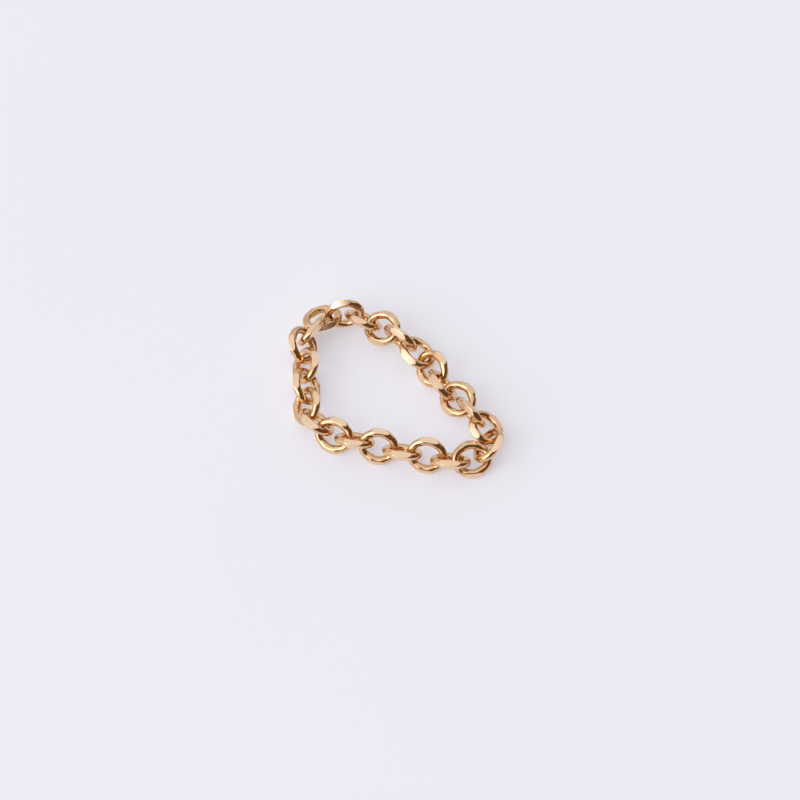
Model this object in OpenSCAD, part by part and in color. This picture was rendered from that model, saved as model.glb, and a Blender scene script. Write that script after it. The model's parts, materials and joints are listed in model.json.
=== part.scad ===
// Finger ring made of a closed loop of diamond-cut cable chain, lying slack on a flat surface.
// Millimetres, +Z up. The origin is on the surface, under the middle of the loop's box.
// A link's own axes: X along the link, Y across it, Z square to its face.

/* [Link] */
// Length of a link over its outside
link_length = 4.15; // [3.9:0.05:5]
// Width of a link over its outside, before the flats are cut
link_width = 3.85; // [3.1:0.05:4.2]
// Diameter of the wire round a link's ends
wire_d = 0.78; // [0.6:0.01:0.95]
// Diameter of the wire along the sides, as a share of that round the ends
side_spread = 1.18; // [1:0.02:1.3]
// How far each side bends to either hand of its middle, in degrees
side_turn = 30; // [20:1:40]
// Length of the straight taper between a side and an end bend
taper = 0.4; // [0.2:0.05:0.5]

/* [Diamond cut] */
// Depth of each flat, measured square into the wire
cut_depth = 0.16; // [0.04:0.02:0.3]
// Angle between a flat's outward direction and the plane of the link
cut_angle = 45; // [30:5:60]

/* [Detail] */
// Facets on the wire's circle
wire_facets = 48; // [24:8:96]
// Points taken on each arc and round the wire to find how low a link reaches
rest_samples = 32; // [8:4:48]
// How far an end bend runs on inside the tapers, in degrees
seam_overlap = 2; // [1:0.5:4]
// How much a taper is thinner than the side and thicker than the end bend that it joins
seam_step = 0.01; // [0.005:0.005:0.03]

/* [Hidden] */
// How the chain was dropped, one row a link, counter-clockwise from the near left corner.
// heading: direction of the link's long axis seen from above, in degrees from +X
// roll: turn of its face about the long axis, 0 flat, positive towards the outside of the loop
// slope: climb of the long axis along the chain, in degrees
// to_next: direction from this link's middle to the next one's, in degrees from +X
// reach: distance to the next middle seen from above, as a share of the taut pitch
// lift: height of the link's lowest point above the surface, in wire diameters
HEADING = 0;
ROLL = 1;
SLOPE = 2;
TO_NEXT = 3;
REACH = 4;
LIFT = 5;
LAY = [
    [ -82,  45,   0,  -62, 0.82, 0   ],
    [ -44, -45,   0,  -40, 0.9,  0   ],
    [ -24,  45,   0,  -16, 0.82, 0   ],
    [ -10, -45,   0,  -16, 0.96, 0   ],
    [ -12,  45,   0,  -15, 0.95, 0   ],
    [ -10, -45,   0,   -8, 0.96, 0   ],
    [ -12,  45,   0,  -16, 0.93, 0   ],
    [  -5, -45,   0,   10, 0.83, 0   ],
    [   8,  25,   0,   38, 0.83, 0   ],
    [  64, -44,   2,   96, 0.83, 0.19],
    [ 118,  22,   7,  136, 0.83, 0.25],
    [ 130,  76,   0,  125, 0.85, 0   ],
    [ 130, -20,  -3,  136, 0.84, 0.57],
    [ 120,  55,   0,  116, 0.92, 0   ],
    [ 122, -42,   0,  129, 0.92, 0   ],
    [ 134,  20,   8,  141, 0.86, 0.47],
    [ 142,  80,   0,  144, 0.89, 0   ],
    [ 148, -24, -14,  152, 0.87, 0.63],
    [ 149,  48,   0,  165, 0.76, 0.13],
    [-173, -74, -16, -174, 0.89, 0.13],
    [-160,  19,  -1, -121, 0.79, 0.65],
    [-130,  66,  -7, -119, 0.73, 0.13],
    [ -84, -41, -11,  -82, 0.86, 0.44],
    [ -84,  45,   6,  -88, 0.93, 0   ],
    [ -88, -45,   0,  -88, 0.88, 0   ]
];
LINKS = len(LAY);

// Distance between the middles of two links pulled straight
taut_pitch = link_length - 2 * wire_d;

// The wire's centre line: an arc along each side, an arc round each end and, between them, straight
// tapers that touch both
side_wire_d = wire_d * side_spread;
half_length = (link_length - wire_d) / 2;
half_width = (link_width - side_wire_d) / 2;
lean = (1 - sin(side_turn)) / cos(side_turn);
side_r = (half_length - lean * half_width + taper * (lean * sin(side_turn) - cos(side_turn)))
    / (sin(side_turn) - lean * (1 - cos(side_turn)));
end_r = (half_width - side_r * (1 - cos(side_turn)) - taper * sin(side_turn)) / cos(side_turn);
side_y = side_r - half_width;
end_x = half_length - end_r;

// Columns of an arc's row: its centre, radius, first and last angle, and the wire's diameter
CENTRE_X = 0;
CENTRE_Y = 1;
RADIUS = 2;
FIRST = 3;
LAST = 4;
WIRE = 5;
SIDES = [
    [0, -side_y, side_r, 90 - side_turn, 90 + side_turn, side_wire_d],
    [0, side_y, side_r, 270 - side_turn, 270 + side_turn, side_wire_d]
];
ENDS = [
    [-end_x, 0, end_r, 90 + side_turn, 270 - side_turn, wire_d],
    [end_x, 0, end_r, 270 + side_turn, 450 - side_turn, wire_d]
];
ARCS = concat(SIDES, ENDS);

// Columns of a taper's row: where it leaves its side, the direction out of the oval there, and its own
START = 0;
OUTWARD = 1;
ONWARD = 2;
TAPERS = [
    for (side = SIDES)
        for (way = [-1, 1])
            let (outward = way < 0 ? side[FIRST] : side[LAST])
            [
                [side[CENTRE_X], side[CENTRE_Y]] + side_r * [cos(outward), sin(outward)],
                outward,
                outward + 90 * way
            ]
];

// Outward directions of the four flats, and how far their planes lie from the link's middle
CUTS = [
    for (side = [-1, 1])
        for (face = [-1, 1])
            [0, side * cos(cut_angle), face * sin(cut_angle)]
];
cut_plane = half_width * cos(cut_angle) + side_wire_d / 2 - cut_depth;

// Points on the centre line, each with the direction that points out of the oval there and the
// wire's radius
OVAL = concat(
    [
        for (arc = ARCS)
            for (k = [0 : rest_samples - 1])
                let (
                    angle = arc[FIRST] + (arc[LAST] - arc[FIRST]) * k / rest_samples,
                    outward = [cos(angle), sin(angle), 0]
                )
                [[arc[CENTRE_X], arc[CENTRE_Y], 0] + arc[RADIUS] * outward, outward, arc[WIRE] / 2]
    ],
    [
        for (row = TAPERS)
            for (share = [0.25 : 0.25 : 0.75])
                let (place = row[START] + share * taper * [cos(row[ONWARD]), sin(row[ONWARD])])
                [
                    [place.x, place.y, 0],
                    [cos(row[OUTWARD]), sin(row[OUTWARD]), 0],
                    (side_wire_d + (wire_d - side_wire_d) * share) / 2
                ]
    ]
);

// Points on the link's surface, with the flats cut
SKIN = [
    for (place = OVAL)
        for (k = [0 : rest_samples - 1])
            let (turn = 360 * k / rest_samples + cut_angle)
            cut_back(place[0] + place[2] * (cos(turn) * place[1] + [0, 0, sin(turn)]))
];

// Moves a point that lies outside a flat's plane onto it
function cut_back(point, cut = 0) =
    cut == len(CUTS) ? point :
    cut_back(point - max(0, point * CUTS[cut] - cut_plane) * CUTS[cut], cut + 1);

// Directions of a link's long and cross axes, and the upward share of its three axes
function long_axis(row) = [
    cos(row[HEADING]) * cos(row[SLOPE]),
    sin(row[HEADING]) * cos(row[SLOPE]),
    sin(row[SLOPE])
];
function cross_axis(row) =
    let (along = -sin(row[SLOPE]) * sin(row[ROLL]), across = cos(row[ROLL]))
    [
        cos(row[HEADING]) * along - sin(row[HEADING]) * across,
        sin(row[HEADING]) * along + cos(row[HEADING]) * across,
        cos(row[SLOPE]) * sin(row[ROLL])
    ];
function upward(row) = [
    sin(row[SLOPE]),
    cos(row[SLOPE]) * sin(row[ROLL]),
    cos(row[SLOPE]) * cos(row[ROLL])
];

// Height of a link's middle: its lowest point sits at its lift
function height(row) = row[LIFT] * wire_d - min([for (point = SKIN) point * upward(row)]);

// Where the middles lie: each row steps to the next one, and what the loop fails to close by
// is shared out evenly over all the steps
function step(row) = row[REACH] * taut_pitch * [cos(row[TO_NEXT]), sin(row[TO_NEXT])];
function total(steps, count) = count == 0 ? [0, 0] : steps[count - 1] + total(steps, count - 1);
STEPS = [for (row = LAY) step(row)];
DRIFT = total(STEPS, LINKS) / LINKS;
MIDDLES = [for (i = [0 : LINKS - 1]) total(STEPS, i) - i * DRIFT];

// Middle of the loop's box, from the centre lines of all the links
REACHED = [
    for (i = [0 : LINKS - 1])
        for (place = OVAL)
            MIDDLES[i]
            + [long_axis(LAY[i]).x, long_axis(LAY[i]).y] * place[0].x
            + [cross_axis(LAY[i]).x, cross_axis(LAY[i]).y] * place[0].y
];
BOX_X = [for (point = REACHED) point.x];
BOX_Y = [for (point = REACHED) point.y];
BOX_MIDDLE = [min(BOX_X) + max(BOX_X), min(BOX_Y) + max(BOX_Y)] / 2;

// One stretch of round wire along an arc of the centre line, run on past both ends
module wire_arc(arc, run_on = 0) {
    translate([arc[CENTRE_X], arc[CENTRE_Y], 0])
        rotate([0, 0, arc[FIRST] - run_on])
            rotate_extrude(angle = arc[LAST] - arc[FIRST] + 2 * run_on, $fn = 2 * wire_facets)
                translate([arc[RADIUS], 0])
                    circle(d = arc[WIRE], $fn = wire_facets);
}

// A straight taper, started a little inside its side
module wire_taper(row) {
    run_in = seam_step * 3;
    translate([row[START].x, row[START].y, 0])
        rotate([0, 90, row[ONWARD]])
            translate([0, 0, -run_in])
                cylinder(h = taper + run_in, d1 = side_wire_d - seam_step, d2 = wire_d + seam_step,
                    $fn = wire_facets);
}

// The stock that one flat takes off: a block whose near face is the flat
module cut_stock(side, face) {
    rotate([face * side * cut_angle, 0, 0])
        translate([-link_length / 2, side > 0 ? cut_plane : -cut_plane - side_wire_d, -link_width / 2])
            cube([link_length, side_wire_d, link_width]);
}

// A closed oval link with its four flats
module cut_link() {
    difference() {
        union() {
            for (arc = SIDES)
                wire_arc(arc);
            for (row = TAPERS)
                wire_taper(row);
            for (arc = ENDS)
                wire_arc(arc, seam_overlap);
        }
        for (side = [-1, 1])
            for (face = [-1, 1])
                cut_stock(side, face);
    }
}

// A link where it came to lie
module laid_link(i) {
    row = LAY[i];
    middle = MIDDLES[i] - BOX_MIDDLE;
    color([0.86, 0.64, 0.4])
        translate([middle.x, middle.y, height(row)])
            rotate([row[ROLL], -row[SLOPE], row[HEADING]])
                cut_link();
}

for (i = [0 : LINKS - 1])
    laid_link(i);
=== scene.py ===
"""Looks of a finger ring made of diamond-cut cable chain, lying slack on a pale lavender-white surface.

Every link is one piece. A node tree sweeps round wire along an oval, presses four flats into it and
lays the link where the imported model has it. One gold finish dresses all of them: polished on the round
wire, satin on the flats. Lengths are in metres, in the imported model's own frame, and angles in radians.
"""

import enum
import json
import logging
import math
from dataclasses import dataclass, field, fields, replace
from typing import Any

import bpy
import numpy as np
from mathutils import Matrix, Vector

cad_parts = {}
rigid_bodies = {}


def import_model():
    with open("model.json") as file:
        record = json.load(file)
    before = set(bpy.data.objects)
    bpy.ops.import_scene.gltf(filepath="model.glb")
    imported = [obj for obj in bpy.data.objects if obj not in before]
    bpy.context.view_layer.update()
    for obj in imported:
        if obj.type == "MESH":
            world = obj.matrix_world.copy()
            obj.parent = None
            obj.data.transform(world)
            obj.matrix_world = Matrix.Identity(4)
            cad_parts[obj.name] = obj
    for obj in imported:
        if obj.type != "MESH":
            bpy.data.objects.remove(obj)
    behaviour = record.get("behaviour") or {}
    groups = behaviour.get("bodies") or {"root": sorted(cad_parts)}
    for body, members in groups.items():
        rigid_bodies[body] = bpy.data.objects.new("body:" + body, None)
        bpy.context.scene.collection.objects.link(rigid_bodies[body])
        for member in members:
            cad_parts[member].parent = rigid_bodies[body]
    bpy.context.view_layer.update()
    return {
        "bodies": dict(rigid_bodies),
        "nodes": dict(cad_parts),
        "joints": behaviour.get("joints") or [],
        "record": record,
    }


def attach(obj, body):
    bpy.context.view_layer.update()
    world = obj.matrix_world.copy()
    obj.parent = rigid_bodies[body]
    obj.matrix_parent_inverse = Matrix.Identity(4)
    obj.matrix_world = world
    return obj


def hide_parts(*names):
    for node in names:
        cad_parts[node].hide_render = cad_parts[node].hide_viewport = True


LOG = logging.getLogger("chain_link_ring")
MM = 0.001

# What the link's tree keeps at each point for the finish: how far the point was pressed back by a flat,
# and where it lies on its own link, both in millimetres
CUT = "cut"
OWN_PLACE = "own_place"

Number = float | int
Colour = tuple[float, float, float, float]


class Term:
    """A node socket that takes part in sums written as Python expressions."""

    def __init__(self, tree: "Tree", socket: bpy.types.NodeSocket) -> None:
        """Wraps one output socket of a tree.

        Args:
            tree: The tree that new nodes are added to.
            socket: The output socket that carries the value.
        """
        self.tree = tree
        self.socket = socket

    def __add__(self, other: "Term | Number") -> "Term":
        """Sum."""
        return self.tree.math("ADD", self, other)

    __radd__ = __add__

    def __sub__(self, other: "Term | Number") -> "Term":
        """Difference."""
        return self.tree.math("SUBTRACT", self, other)

    def __rsub__(self, other: "Term | Number") -> "Term":
        """Difference, with this term taken away."""
        return self.tree.math("SUBTRACT", other, self)

    def __mul__(self, other: "Term | Number") -> "Term":
        """Product."""
        return self.tree.math("MULTIPLY", self, other)

    __rmul__ = __mul__

    def __truediv__(self, other: "Term | Number") -> "Term":
        """Quotient."""
        return self.tree.math("DIVIDE", self, other)

    def __rtruediv__(self, other: "Term | Number") -> "Term":
        """Quotient, with this term below."""
        return self.tree.math("DIVIDE", other, self)

    def __neg__(self) -> "Term":
        """Negative."""
        return self.tree.math("MULTIPLY", self, -1.0)


Value = Term | float | int | str | tuple


@dataclass(frozen=True)
class Pattern:
    """Soft noise.

    Attributes:
        scale: How many spots lie along a unit of length.
        detail: How many finer layers there are.
        rough: How strong the finer layers are.
    """

    scale: float
    detail: float
    rough: float = 0.5


class Tree:
    """A node tree under construction, for a shape or for a finish."""

    def __init__(self, tree: bpy.types.NodeTree) -> None:
        """Takes an empty tree.

        Args:
            tree: The node tree that receives the nodes.
        """
        self.tree = tree

    @classmethod
    def of(cls, owner: bpy.types.Material | bpy.types.World) -> "Tree":
        """Takes the node tree of a material or a world, and empties it.

        Args:
            owner: The material or world.

        Returns:
            Its tree, without nodes.
        """
        owner.use_nodes = True
        owner.node_tree.nodes.clear()
        return cls(owner.node_tree)

    def add(self, kind: str, settings: dict[str, Any] | None = None,
            values: dict[str | int, Value] | None = None) -> bpy.types.Node:
        """Adds a node, first its settings and then its sockets.

        Args:
            kind: Blender's type name of the node.
            settings: Properties of the node, such as its operation.
            values: Numbers or links of its input sockets, by identifier, name or place.

        Returns:
            The new node.
        """
        node = self.tree.nodes.new(kind)
        for name, setting in (settings or {}).items():
            setattr(node, name, setting)
        for key, value in (values or {}).items():
            socket = self._socket(node.inputs, key)
            if isinstance(value, Term):
                self.tree.links.new(value.socket, socket)
            else:
                socket.default_value = value
        return node

    @staticmethod
    def _socket(sockets: Any, key: str | int) -> bpy.types.NodeSocket:
        """Finds a socket of a node.

        Args:
            sockets: The node's inputs or outputs.
            key: The socket's identifier, else its name or place.

        Returns:
            The socket.
        """
        for socket in sockets:
            if socket.identifier == key:
                return socket
        return sockets[key]

    def out(self, node: bpy.types.Node, key: str | int = 0) -> Term:
        """One output of a node, as a term."""
        return Term(self, self._socket(node.outputs, key))

    def math(self, operation: str, *values: Term | Number) -> Term:
        """The result of a Math node on its operands, in order."""
        return self.out(self.add("ShaderNodeMath", {"operation": operation}, dict(enumerate(values))))

    def vector(self, operation: str, *values: Value, key: str = "Vector") -> Term:
        """The named result of a Vector Math node on its operands, in order."""
        node = self.add("ShaderNodeVectorMath", {"operation": operation}, dict(enumerate(values)))
        return self.out(node, key)

    def dot(self, first: Value, second: Value) -> Term:
        """The dot product of two vectors."""
        return self.vector("DOT_PRODUCT", first, second, key="Value")

    def scaled(self, vector: Value, factor: Term | Number) -> Term:
        """A vector times a number."""
        node = self.add("ShaderNodeVectorMath", {"operation": "SCALE"}, {"Vector": vector, "Scale": factor})
        return self.out(node, "Vector")

    def joined(self, x: Term | Number, y: Term | Number, z: Term | Number) -> Term:
        """A vector made of three numbers."""
        return self.out(self.add("ShaderNodeCombineXYZ", None, {0: x, 1: y, 2: z}), "Vector")

    def mapped(self, value: Term, low: Value, high: Value, to_low: Value, to_high: Value) -> Term:
        """Carries a value smoothly from one range to another and holds it there.

        Args:
            value: The value.
            low: Where the first range starts.
            high: Where it ends.
            to_low: What the start becomes.
            to_high: What the end becomes.

        Returns:
            The carried value.
        """
        node = self.add("ShaderNodeMapRange", {"interpolation_type": "SMOOTHSTEP"},
                        {"Value": value, "From Min": low, "From Max": high,
                         "To Min": to_low, "To Max": to_high})
        return self.out(node, "Result")

    def noise(self, place: Term, pattern: Pattern) -> Term:
        """Soft noise at a place, about 0.5 on average.

        Args:
            place: The place, in the unit of length that the pattern counts in.
            pattern: The noise's scale and detail.

        Returns:
            A value between 0 and 1.
        """
        node = self.add("ShaderNodeTexNoise", None,
                        {"Vector": place, "Scale": pattern.scale, "Detail": pattern.detail,
                         "Roughness": pattern.rough})
        return self.out(node)

    def blend(self, factor: Term, first: Value, second: Value) -> Term:
        """Blends two colours.

        Args:
            factor: How much of the second colour there is, from 0 to 1.
            first: The colour at 0.
            second: The colour at 1.

        Returns:
            The colour between them.
        """
        node = self.add("ShaderNodeMix", {"data_type": "RGBA"},
                        {"Factor_Float": factor, "A_Color": first, "B_Color": second})
        return self.out(node, "Result_Color")


@dataclass(frozen=True)
class WireSizes:
    """Sizes of one oval link and its four flats. Each is an input of the link's node tree.

    Attributes:
        length: Length of the link over its outside.
        width: Width of the link over its outside, before the flats are cut.
        wire: Diameter of the wire round the ends.
        side_spread: Diameter of the wire along the sides, as a share of that round the ends.
        side_turn: How far each side bends to either hand of its middle.
        taper: Length of the straight taper between a side and an end bend.
        thin_from: Where the wire starts to thin, as a share of half a side.
        thin_to: Where it is as thin as round the ends, as a share of the taper.
        cut_depth: Depth of the lower flats, measured square into the wire.
        upper_cut_depth: Depth of the upper flats.
        cut_spread: How much an upper flat's depth varies to either hand.
        cut_angle: Angle between a flat's outward direction and the plane of the link.
        cut_tilt: How much an upper flat's direction varies to either hand.
        cut_radius: Radius of the curve that a flat follows along the link.
        edge_round: Width over which a flat's edge is softened.
        unevenness: How far the wire's surface wanders.
        rings: Points along the link.
        sides: Points round the wire.
    """

    length: float = 4.15 * MM
    width: float = 3.85 * MM
    wire: float = 0.78 * MM
    side_spread: float = 1.18
    side_turn: float = math.radians(30)
    taper: float = 0.4 * MM
    thin_from: float = 0.6
    thin_to: float = 1.3
    cut_depth: float = 0.16 * MM
    upper_cut_depth: float = 0.16 * MM
    cut_spread: float = 0.02 * MM
    cut_angle: float = math.radians(45)
    cut_tilt: float = math.radians(1.5)
    cut_radius: float = 4.5 * MM
    edge_round: float = 0.06 * MM
    unevenness: float = 0.012 * MM
    rings: int = 224
    sides: int = 64

    def inputs(self) -> dict[str, Number]:
        """The sizes by the names of the tree's inputs."""
        return {size.name.replace("_", " ").title(): getattr(self, size.name) for size in fields(self)}


class Corner(enum.Enum):
    """The four flats of a link, by the sign of their side and of their face."""

    RIGHT_LOWER = (-1, -1)
    RIGHT_UPPER = (-1, 1)
    LEFT_LOWER = (1, -1)
    LEFT_UPPER = (1, 1)

    @property
    def mark(self) -> str:
        """The name under which the tree keeps how far a point lay past the flat."""
        return f"past_{self.name.lower()}"


@dataclass(frozen=True)
class LinkTree:
    """The node tree that makes one link of bent wire and lays it in place.

    Attributes:
        name: Name of the tree.
        swell: The wire's long waves, with a millimetre as the unit of length.
        swell_share: How much of the unevenness they make.
        dent: The wire's short waves.
        dent_share: How much of the unevenness they make.
        seed_step: How far the waves move from one seed to the next, in millimetres.
    """

    name: str = "diamond_cut_link"
    swell: Pattern = Pattern(0.55, 1.0)
    swell_share: float = 2.0
    dent: Pattern = Pattern(1.6, 1.0)
    dent_share: float = 0.6
    seed_step: tuple[float, float, float] = (0.37, 0.11, 0.73)

    def build(self, sizes: WireSizes) -> bpy.types.NodeTree:
        """Builds the tree.

        Args:
            sizes: The sizes that the tree has inputs for.

        Returns:
            A geometry node tree with named inputs for the sizes, the seed, the pose and the finish.
        """
        group = bpy.data.node_groups.new(self.name, "GeometryNodeTree")
        kinds = {"Geometry": "Geometry"}
        for name, size in sizes.inputs().items():
            kinds[name] = "Int" if isinstance(size, int) else "Float"
        kinds.update({"Seed": "Int", "Place": "Vector", "Turn": "Rotation", "Finish": "Material"})
        for name, kind in kinds.items():
            group.interface.new_socket(name, in_out="INPUT", socket_type=f"NodeSocket{kind}")
        group.interface.new_socket("Geometry", in_out="OUTPUT", socket_type="NodeSocketGeometry")
        tree = Tree(group)
        entry = tree.add("NodeGroupInput")
        given = {socket.name: Term(tree, socket) for socket in entry.outputs if socket.name}
        wire = self._waved(tree, given, self._swept(tree, given))
        marked = self._marked(tree, *self._cut(tree, given, wire))
        laid = tree.add("GeometryNodeTransform", None,
                        {"Geometry": marked, "Translation": given["Place"], "Rotation": given["Turn"]})
        smooth = tree.add("GeometryNodeSetShadeSmooth", None, {"Geometry": tree.out(laid)})
        plain = tree.add("GeometryNodeRealizeInstances", None, {"Geometry": tree.out(smooth)})
        dressed = tree.add("GeometryNodeSetMaterial", None,
                           {"Geometry": tree.out(plain), "Material": given["Finish"]})
        tree.add("NodeGroupOutput", None, {"Geometry": tree.out(dressed)})
        return group

    @staticmethod
    def _oval(tree: Tree, given: dict[str, Term]) -> tuple[Term, Term]:
        """Finds where a point of the oval lies, by how far along its quarter it is.

        Each quarter of the oval runs from a side's middle along an arc, a straight taper and an end's arc.

        Args:
            tree: The link's tree.
            given: The tree's inputs.

        Returns:
            The point's place on the wire's middle line, and the wire's diameter there, as a share of that
            round the ends.
        """
        half_length = (given["Length"] - given["Wire"]) * 0.5
        half_width = (given["Width"] - given["Wire"] * given["Side Spread"]) * 0.5
        turn, taper = given["Side Turn"], given["Taper"]
        sine, cosine = tree.math("SINE", turn), tree.math("COSINE", turn)
        lean = (1.0 - sine) / cosine
        side_r = ((half_length - lean * half_width + taper * (lean * sine - cosine))
                  / (sine - lean * (1.0 - cosine)))
        end_r = (half_width - side_r * (1.0 - cosine) - taper * sine) / cosine
        side_length = side_r * turn
        quarter = side_length + taper + end_r * (math.pi / 2 - turn)
        quarters = tree.out(tree.add("GeometryNodeInputIndex")) / given["Rings"] * 4.0
        run = tree.math("PINGPONG", quarters, 1.0) * quarter
        on_side = tree.math("MINIMUM", run, side_length) / side_r
        on_taper = tree.math("MINIMUM", tree.math("MAXIMUM", run - side_length, 0.0), taper)
        on_end = tree.math("MAXIMUM", run - side_length - taper, 0.0) / end_r + turn
        x = (side_r * tree.math("SINE", on_side) + on_taper * cosine
             + end_r * (tree.math("SINE", on_end) - sine))
        y = (half_width - side_r * (1.0 - tree.math("COSINE", on_side)) - on_taper * sine
             - end_r * (cosine - tree.math("COSINE", on_end)))
        x_sign = tree.math("GREATER_THAN", quarters, 2.0) * 2.0 - 1.0
        y_sign = tree.math("GREATER_THAN", tree.math("ABSOLUTE", quarters - 2.0), 1.0) * 2.0 - 1.0
        thickness = tree.mapped(run, side_length * given["Thin From"],
                                side_length + taper * given["Thin To"], given["Side Spread"], 1.0)
        return tree.joined(x * x_sign, y * y_sign, 0.0), thickness

    def _swept(self, tree: Tree, given: dict[str, Term]) -> Term:
        """Sweeps the wire's circle along the oval.

        Args:
            tree: The link's tree.
            given: The tree's inputs.

        Returns:
            The round wire, uncut.
        """
        place, thickness = self._oval(tree, given)
        ring = tree.add("GeometryNodeCurvePrimitiveCircle", {"mode": "RADIUS"},
                        {"Resolution": given["Rings"], "Radius": 1.0})
        oval = tree.add("GeometryNodeSetPosition", None, {"Geometry": tree.out(ring), "Position": place})
        upright = tree.add("GeometryNodeSetCurveNormal", {"mode": "Z_UP"}, {"Curve": tree.out(oval)})
        section = tree.add("GeometryNodeCurvePrimitiveCircle", {"mode": "RADIUS"},
                           {"Resolution": given["Sides"], "Radius": given["Wire"] * 0.5})
        swept = tree.add("GeometryNodeCurveToMesh", None,
                         {"Curve": tree.out(upright), "Profile Curve": tree.out(section),
                          "Scale": thickness})
        return tree.out(swept)

    def _waved(self, tree: Tree, given: dict[str, Term], wire: Term) -> Term:
        """Makes the wire a little uneven, as bending and tumbling leave it.

        Args:
            tree: The link's tree.
            given: The tree's inputs.
            wire: The round wire.

        Returns:
            The uneven wire.
        """
        place = tree.out(tree.add("GeometryNodeInputPosition"))
        normal = tree.out(tree.add("GeometryNodeInputNormal"))
        spot = tree.vector("ADD", tree.scaled(place, 1 / MM), tree.scaled(self.seed_step, given["Seed"]))
        waves = ((tree.noise(spot, self.swell) - 0.5) * self.swell_share
                 + (tree.noise(spot, self.dent) - 0.5) * self.dent_share)
        node = tree.add("GeometryNodeSetPosition", None,
                        {"Geometry": wire, "Offset": tree.scaled(normal, waves * given["Unevenness"])})
        return tree.out(node)

    def _cut(self, tree: Tree, given: dict[str, Term], wire: Term) -> tuple[Term, Term]:
        """Presses the four flats in.

        Along the link a flat follows the wide curve that the cutting wheel runs on, so it isn't quite
        plane. A lower flat can be what the link lies on, so it keeps its depth and direction. An upper
        one is a little off both.

        Args:
            tree: The link's tree.
            given: The tree's inputs.
            wire: The uneven wire.

        Returns:
            The cut wire and, for each point, how far it lay past the flat nearest to it, in millimetres.
        """
        side_wire = given["Wire"] * given["Side Spread"]
        across, up = tree.math("COSINE", given["Cut Angle"]), tree.math("SINE", given["Cut Angle"])
        uncut = (given["Width"] - side_wire) * 0.5 * across + side_wire * 0.5
        place = tree.out(tree.add("GeometryNodeInputPosition"))
        along = tree.dot(place, (1.0, 0.0, 0.0))
        bow = along * along / (given["Cut Radius"] * 2.0)
        for number, corner in enumerate(Corner):
            side, face = corner.value
            depth, tilt, roll = given["Cut Depth"], 0.0, 0.0
            if face > 0:
                off_depth, off_tilt, off_roll = (
                    self._chance(tree, given["Seed"], number + draw * len(Corner)) for draw in range(3))
                depth = given["Upper Cut Depth"] - off_depth * given["Cut Spread"]
                tilt, roll = off_tilt * given["Cut Tilt"], off_roll * given["Cut Tilt"]
            leaning = tree.joined(tilt, (across - up * roll) * side, (up + across * roll) * face)
            outward = tree.vector("NORMALIZE", leaning)
            beyond = tree.dot(place, outward) + bow - (uncut - depth)
            wire = self._stored(tree, wire, corner.mark, beyond / MM)
            over = tree.math("SMOOTH_MAX", beyond / MM, 0.0, given["Edge Round"] / MM) * MM
            pressed = tree.add("GeometryNodeSetPosition", None,
                               {"Geometry": wire, "Offset": tree.scaled(outward, -over)})
            wire = tree.out(pressed)
        reads = [tree.add("GeometryNodeInputNamedAttribute", {"data_type": "FLOAT"}, {"Name": corner.mark})
                 for corner in Corner]
        most, *others = (tree.out(read, "Attribute") for read in reads)
        for other in others:
            most = tree.math("MAXIMUM", most, other)
        return wire, most

    @staticmethod
    def _chance(tree: Tree, seed: Term, number: int) -> Term:
        """Draws a number that hangs on the seed only, the same at every point.

        Args:
            tree: The link's tree.
            seed: The link's seed.
            number: Which of the seed's draws it is.

        Returns:
            A number from -1 to 1.
        """
        which = tree.out(tree.add("FunctionNodeInputInt", {"integer": number}))
        node = tree.add("FunctionNodeRandomValue", {"data_type": "FLOAT"},
                        {"Min_001": -1.0, "Max_001": 1.0, "ID": which, "Seed": seed})
        return tree.out(node, "Value_001")

    @staticmethod
    def _stored(tree: Tree, shape: Term, name: str, value: Term, kind: str = "FLOAT") -> Term:
        """Keeps a value at each point of a shape.

        Args:
            tree: The link's tree.
            shape: The shape.
            name: The name that the value is kept under.
            value: The value.
            kind: Blender's name of the value's type.

        Returns:
            The shape with the value.
        """
        node = tree.add("GeometryNodeStoreNamedAttribute", {"data_type": kind, "domain": "POINT"},
                        {"Geometry": shape, "Name": name, "Value": value})
        return tree.out(node)

    def _marked(self, tree: Tree, wire: Term, past: Term) -> Term:
        """Keeps what the finish reads: where the flats are and where a point sits on its own link.

        Args:
            tree: The link's tree.
            wire: The cut wire.
            past: For each point, how far it lay past the flat nearest to it, in millimetres.

        Returns:
            The wire with both values, and without those of the single flats.
        """
        wire = self._stored(tree, wire, CUT, past)
        place = tree.out(tree.add("GeometryNodeInputPosition"))
        wire = self._stored(tree, wire, OWN_PLACE, tree.scaled(place, 1 / MM), "FLOAT_VECTOR")
        for corner in Corner:
            wire = tree.out(tree.add("GeometryNodeRemoveAttribute", None,
                                     {"Geometry": wire, "Name": corner.mark}))
        return wire


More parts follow.
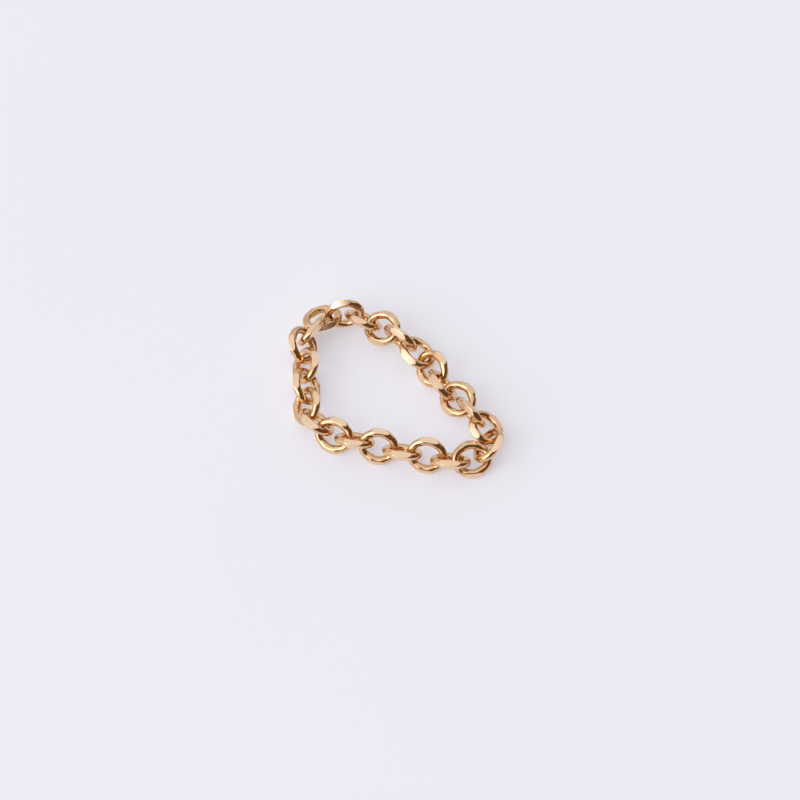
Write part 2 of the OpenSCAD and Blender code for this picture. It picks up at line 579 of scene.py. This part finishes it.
@dataclass(frozen=True)
class GoldFinish:
    """Gold plate: polished round wire with tumbling marks, and satin flats left by the cutting wheel.

    Patterns count in millimetres, and the heights of marks are in millimetres too.

    Attributes:
        name: Name of the material.
        polished: Tone of the polished wire.
        warm: Its warmer tone, in patches.
        flat: Tone of the flats, paler than the wire as a painted highlight for their whitened shine.
        patches: The patches of warmer tone.
        patch_range: Between which values of that noise one tone turns into the other.
        polish_roughness: Roughness of the polished wire.
        flat_roughness: Roughness of the flats.
        roughness_range: By how much either roughness varies in all.
        flat_edge: How far past a flat a point has to lie to be wholly on it.
        lines: The wheel's fine lines on the flats.
        line_stretch: How much finer they are along, across and through the link.
        line_height: Their height.
        smears: Wide, shallow marks of polishing.
        smear_height: Their height.
        pits: Fine marks of tumbling.
        pit_height: Their height.
    """

    name: str = "gold"
    polished: Colour = (0.78, 0.52, 0.29, 1.0)
    warm: Colour = (0.75, 0.48, 0.25, 1.0)
    # Paler than the wire: painted highlight for the whitened shine of the flats
    flat: Colour = (0.92, 0.68, 0.46, 1.0)
    patches: Pattern = Pattern(0.9, 3.0)
    patch_range: tuple[float, float] = (0.35, 0.65)
    polish_roughness: float = 0.09
    flat_roughness: float = 0.24
    roughness_range: float = 0.06
    flat_edge: float = 0.02
    lines: Pattern = Pattern(1.6, 4.0, 0.65)
    line_stretch: tuple[float, float, float] = (6.0, 1.0, 1.0)
    line_height: float = 0.0004
    smears: Pattern = Pattern(3.5, 4.0, 0.6)
    smear_height: float = 0.002
    pits: Pattern = Pattern(9.0, 3.0, 0.6)
    pit_height: float = 0.0004

    def build(self) -> bpy.types.Material:
        """Builds the material.

        Returns:
            The gold, reading each piece's own attributes and object coordinates.
        """
        material = bpy.data.materials.new(self.name)
        tree = Tree.of(material)
        own = tree.out(tree.add("ShaderNodeAttribute", {"attribute_name": OWN_PLACE}), "Vector")
        cut = tree.out(tree.add("ShaderNodeAttribute", {"attribute_name": CUT}), "Fac")
        spot = tree.scaled(tree.out(tree.add("ShaderNodeTexCoord"), "Object"), 1 / MM)
        on_flat = tree.mapped(cut, 0.0, self.flat_edge, 0.0, 1.0)
        patch = tree.mapped(tree.noise(spot, self.patches), *self.patch_range, 0.0, 1.0)
        # The flats' paler tone is a painted highlight that stands in for their whitened shine
        colour = tree.blend(on_flat, tree.blend(patch, self.polished, self.warm), self.flat)
        drawn = tree.noise(tree.vector("MULTIPLY", own, self.line_stretch), self.lines)
        smear = tree.noise(spot, self.smears)
        polish = self.polish_roughness + (smear - 0.5) * self.roughness_range
        satin = self.flat_roughness + (drawn - 0.5) * self.roughness_range
        roughness = polish + (satin - polish) * on_flat
        tumbled = tree.noise(spot, self.pits) * self.pit_height + smear * self.smear_height
        height = drawn * on_flat * self.line_height + tumbled * (1.0 - on_flat)
        bump = tree.add("ShaderNodeBump", None, {"Strength": 1.0, "Distance": MM, "Height": height})
        shader = tree.add("ShaderNodeBsdfPrincipled", None,
                          {"Base Color": colour, "Metallic": 1.0, "Roughness": roughness,
                           "Normal": tree.out(bump, "Normal")})
        tree.add("ShaderNodeOutputMaterial", None, {"Surface": tree.out(shader)})
        return material


@dataclass
class ChainLoop:
    """The closed loop of links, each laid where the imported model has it.

    Attributes:
        sizes: Sizes of every link.
        light_cut_depth: Depth of the upper flats on every second link, which the wheel cut less.
        link_tree: What builds the links' node tree.
        finish: The links' finish.
        first_seed: Seed of the first link.
        lies: Middle and turn of each packed link, by name.
    """

    frame: dict[str, Any]
    sizes: WireSizes = WireSizes()
    light_cut_depth: float = 0.11 * MM
    link_tree: LinkTree = LinkTree()
    finish: GoldFinish = GoldFinish()
    first_seed: int = 11
    lies: dict[str, tuple[Vector, Matrix]] = field(init=False)

    def __post_init__(self) -> None:
        """Finds how each packed link lies."""
        self.lies = {name: self._lie(node) for name, node in sorted(self.frame["nodes"].items())}

    def build(self) -> list[bpy.types.Object]:
        """Makes every link, dresses it and puts it on the model's body.

        Returns:
            The links, in the chain's order.
        """
        tree = self.link_tree.build(self.sizes)
        gold = self.finish.build()
        links = []
        for number, name in enumerate(self.lies):
            piece = self._link(name, tree, gold, self.first_seed + number)
            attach(piece, "root")
            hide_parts(name)
            LOG.info("%s: %d faces, middle at %s mm", piece.name, len(piece.data.polygons),
                     [round(length / MM, 2) for length in self.lies[name][0]])
            links.append(piece)
        return links

    def middle(self) -> Vector:
        """The mean of the links' middles, brought down to the surface."""
        mean = sum((place for place, _ in self.lies.values()), Vector()) / len(self.lies)
        return Vector((mean.x, mean.y, 0.0))

    def _link(self, name: str, tree: bpy.types.NodeTree, gold: bpy.types.Material,
              seed: int) -> bpy.types.Object:
        """Runs the link's tree once and keeps its result as a plain mesh.

        Args:
            name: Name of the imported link.
            tree: The link's node tree.
            gold: The link's finish.
            seed: The link's seed. An odd one gives lightly cut upper flats.

        Returns:
            The link in its place, its object at the origin.
        """
        sizes = replace(self.sizes, upper_cut_depth=self.light_cut_depth) if seed % 2 else self.sizes
        place, turn = self.lies[name]
        given = {**sizes.inputs(), "Seed": seed, "Place": tuple(place), "Turn": tuple(turn.to_euler()),
                 "Finish": gold}
        blank = bpy.data.meshes.new(f"{name}_blank")
        host = bpy.data.objects.new(f"{name}_host", blank)
        bpy.context.scene.collection.objects.link(host)
        modifier = host.modifiers.new("link", "NODES")
        modifier.node_group = tree
        for item in tree.interface.items_tree:
            if item.in_out == "INPUT" and item.name in given:
                modifier[item.identifier] = given[item.name]
        depsgraph = bpy.context.evaluated_depsgraph_get()
        mesh = bpy.data.meshes.new_from_object(host.evaluated_get(depsgraph), depsgraph=depsgraph)
        mesh.name = f"gold_{name}"
        host.modifiers.remove(modifier)
        bpy.data.objects.remove(host)
        bpy.data.meshes.remove(blank)
        piece = bpy.data.objects.new(mesh.name, mesh)
        bpy.context.scene.collection.objects.link(piece)
        return piece

    @staticmethod
    def _lie(node: bpy.types.Object) -> tuple[Vector, Matrix]:
        """Finds a link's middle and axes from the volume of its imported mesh.

        The solid is summed as tetrahedra from one point to each triangle. Six times a tetrahedron's
        volume is the triple product of its edges, its middle is the mean of its four corners, and its
        spread is a twentieth of its volume times the products of its corners and of their sum.

        Args:
            node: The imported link.

        Returns:
            Its middle, and the turn that carries the link's own axes to where they lie: X along the
            link, Z square to its face and upward.
        """
        mesh = node.data
        mesh.calc_loop_triangles()
        points = np.array([vertex.co for vertex in mesh.vertices], float)
        corners = points[np.array([triangle.vertices for triangle in mesh.loop_triangles])]
        start = points.mean(0)
        a, b, c = (corners[:, k] - start for k in range(3))
        sums = a + b + c
        volumes = np.einsum("ij,ij->i", a, np.cross(b, c)) / 6
        total = volumes.sum()
        middle = (sums / 4 * volumes[:, None]).sum(0) / total
        spread = sum(np.einsum("i,ij,ik->jk", volumes, v, v) for v in (sums, a, b, c)) / 20
        spread = spread / total - np.outer(middle, middle)
        _, axes = np.linalg.eigh(spread)
        along, up = axes[:, 2], axes[:, 0]
        up = up if up[2] >= 0 else -up
        turn = Matrix(np.stack([along, np.cross(up, along), up], 1).tolist())
        return Vector(middle + start), turn


@dataclass(frozen=True)
class SheetFinish:
    """Matt sheet, faintly lavender, glowing so that shadows on it stay light.

    Attributes:
        name: Name of the material.
        tone: Tone of the sheet.
        shade: Its darkest tone, as a share of that.
        clouds: The wide patches of darker tone, with a metre as the unit of length.
        glow: Strength of its own light.
        roughness: Roughness of its surface.
        shine: Strength of its gloss.
        grain: The sheet's grain, with a metre as the unit of length.
        grain_strength: How much of the grain shows.
        grain_height: Height of the grain.
    """

    name: str = "pale_sheet"
    tone: Colour = (0.53, 0.53, 0.577, 1.0)
    shade: float = 0.985
    clouds: Pattern = Pattern(25.0, 2.0)
    glow: float = 0.75
    roughness: float = 0.75
    shine: float = 0.2
    grain: Pattern = Pattern(900.0, 3.0)
    grain_strength: float = 0.05
    grain_height: float = 0.1 * MM

    def build(self) -> bpy.types.Material:
        """Builds the material.

        Returns:
            The sheet's finish, reading object coordinates.
        """
        material = bpy.data.materials.new(self.name)
        tree = Tree.of(material)
        spot = tree.out(tree.add("ShaderNodeTexCoord"), "Object")
        red, green, blue, solid = self.tone
        darker = (red * self.shade, green * self.shade, blue * self.shade, solid)
        tone = tree.blend(tree.noise(spot, self.clouds), self.tone, darker)
        bump = tree.add("ShaderNodeBump", None,
                        {"Strength": self.grain_strength, "Distance": self.grain_height,
                         "Height": tree.noise(spot, self.grain)})
        shader = tree.add("ShaderNodeBsdfPrincipled", None,
                          {"Base Color": tone, "Roughness": self.roughness,
                           "Specular IOR Level": self.shine, "Emission Color": tone,
                           "Emission Strength": self.glow, "Normal": tree.out(bump, "Normal")})
        tree.add("ShaderNodeOutputMaterial", None, {"Surface": tree.out(shader)})
        return material


@dataclass(frozen=True)
class Shade:
    """A level that changes smoothly across the tent.

    Attributes:
        towards: The direction that it changes along.
        start: How far towards it the change starts, from -1 to 1.
        end: How far towards it the change ends.
        low: The level before the change.
        high: The level past it.
    """

    towards: tuple[float, float, float]
    start: float
    end: float
    low: float
    high: float

    def over(self, tree: Tree, way: Term) -> Term:
        """The level that is seen along a way from the set."""
        return tree.mapped(tree.dot(way, self.towards), self.start, self.end, self.low, self.high)


@dataclass(frozen=True)
class Tent:
    """The white tent round the set, brightest at the near left, open and dark at the near right.

    Attributes:
        name: Name of the world.
        walls: Brightness of the walls, more towards the top.
        back: What the wall behind the set lacks.
        panel: What the lit panel at the near left adds.
        tint: Tone of the walls.
        gap: How open the tent is.
        gap_tone: What is seen through its opening.
    """

    name: str = "tent"
    walls: Shade = Shade((0.0, 0.0, 1.0), 0.0, 0.7, 0.68, 0.95)
    back: Shade = Shade((0.0, 1.0, 0.0), 0.0, 0.7, 0.0, 0.08)
    panel: Shade = Shade((-0.78, -0.45, 0.43), 0.6, 0.9, 0.0, 0.4)
    tint: tuple[float, float, float] = (1.0, 0.985, 0.985)
    gap: Shade = Shade((0.75, -0.66, 0.0), 0.15, 0.38, 0.0, 1.0)
    gap_tone: Colour = (0.15, 0.085, 0.045, 1.0)

    def build(self) -> bpy.types.World:
        """Builds the world.

        Returns:
            The tent, as seen in each direction.
        """
        world = bpy.data.worlds.new(self.name)
        tree = Tree.of(world)
        way = tree.out(tree.add("ShaderNodeTexCoord"), "Generated")
        level = self.walls.over(tree, way) - self.back.over(tree, way) + self.panel.over(tree, way)
        light = tree.blend(self.gap.over(tree, way), tree.scaled(self.tint, level), self.gap_tone)
        node = tree.add("ShaderNodeBackground", None, {"Color": light, "Strength": 1.0})
        tree.add("ShaderNodeOutputWorld", None, {"Surface": tree.out(node)})
        return world


@dataclass(frozen=True)
class Studio:
    """The pale surface, the soft light round it and the camera at the photograph's angle.

    Attributes:
        elevation: How far the camera looks down.
        distance: From the camera to the ring.
        frame_pixels: Side of the photograph's frame.
        pixels_per_mm: Scale of the photograph at the ring.
        anchor: Where the middle of the chain lies in the photograph, in pixels from its top left corner.
        sensor: Width of the camera's sensor, in the camera's own millimetres.
        clip: The nearest and the farthest that the camera sees.
        sheet_radius: Radius of the sheet.
        sheet_sides: Points round its rim.
        sheet: The sheet's finish.
        tent: The tent round the set.
        lamp_size: Side of the soft box.
        lamp_power: Power of its lamp, in watts.
        lamp_place: Where it stands, at the near left of the set.
    """

    elevation: float = math.radians(60)
    distance: float = 320 * MM
    frame_pixels: int = 800
    pixels_per_mm: float = 9.85
    anchor: tuple[float, float] = (386.9, 399.5)
    sensor: float = 36.0
    clip: tuple[float, float] = (0.01, 10.0)
    sheet_radius: float = 1.5
    sheet_sides: int = 64
    sheet: SheetFinish = SheetFinish()
    tent: Tent = Tent()
    lamp_size: float = 0.6
    lamp_power: float = 2.2
    lamp_place: tuple[float, float, float] = (-0.64, -0.36, 0.52)

    def build(self, middle: Vector) -> None:
        """Sets up floor, light and camera.

        Args:
            middle: The mean of the links' middles, brought down to the surface.
        """
        scene = bpy.context.scene
        scene.camera = self._camera(middle)
        self._floor()
        scene.world = self.tent.build()
        self._lamp()
        scene.view_settings.view_transform = "Standard"
        scene.view_settings.look = "None"

    def _camera(self, middle: Vector) -> bpy.types.Object:
        """Makes a long lens, aimed so that the ring sits where it does in the photograph.

        Args:
            middle: The point that the photograph shows at the anchor.

        Returns:
            The camera.
        """
        ahead = Vector((0.0, math.cos(self.elevation), -math.sin(self.elevation)))
        above = Vector((0.0, math.sin(self.elevation), math.cos(self.elevation)))
        right = Vector((1.0, 0.0, 0.0))
        pixel = MM / self.pixels_per_mm
        off_x, off_y = (self.frame_pixels / 2 - place for place in self.anchor)
        aim = middle + (right * off_x - above * off_y) * pixel
        data = bpy.data.cameras.new("camera")
        data.sensor_width = self.sensor
        data.lens = self.sensor * self.distance / (self.frame_pixels * pixel)
        data.clip_start, data.clip_end = self.clip
        camera = bpy.data.objects.new("camera", data)
        camera.location = aim - ahead * self.distance
        camera.rotation_euler = (math.pi / 2 - self.elevation, 0.0, 0.0)
        bpy.context.scene.collection.objects.link(camera)
        return camera

    def _floor(self) -> None:
        """Makes the wide sheet that the ring lies on."""
        mesh = bpy.data.meshes.new("surface")
        turns = [math.tau * k / self.sheet_sides for k in range(self.sheet_sides)]
        rim = [(self.sheet_radius * math.cos(turn), self.sheet_radius * math.sin(turn), 0.0)
               for turn in turns]
        mesh.from_pydata(rim, [], [list(range(self.sheet_sides))])
        mesh.materials.append(self.sheet.build())
        sheet = bpy.data.objects.new("surface", mesh)
        bpy.context.scene.collection.objects.link(sheet)

    def _lamp(self) -> None:
        """Makes one wide soft box, turned to the set."""
        data = bpy.data.lights.new("soft_box", "AREA")
        data.shape, data.size, data.size_y = "RECTANGLE", self.lamp_size, self.lamp_size
        data.energy = self.lamp_power
        lamp = bpy.data.objects.new("soft_box", data)
        lamp.location = self.lamp_place
        lamp.rotation_euler = (-lamp.location).to_track_quat("-Z", "Y").to_euler()
        bpy.context.scene.collection.objects.link(lamp)


def main() -> None:
    """Builds the ring, then the set round it, and logs how many links there are."""
    logging.basicConfig(level=logging.INFO, format="%(name)s: %(message)s")
    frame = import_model()
    chain = ChainLoop(frame)
    links = chain.build()
    Studio().build(chain.middle())
    LOG.info("%d links", len(links))


if __name__ == "__main__":
    main()
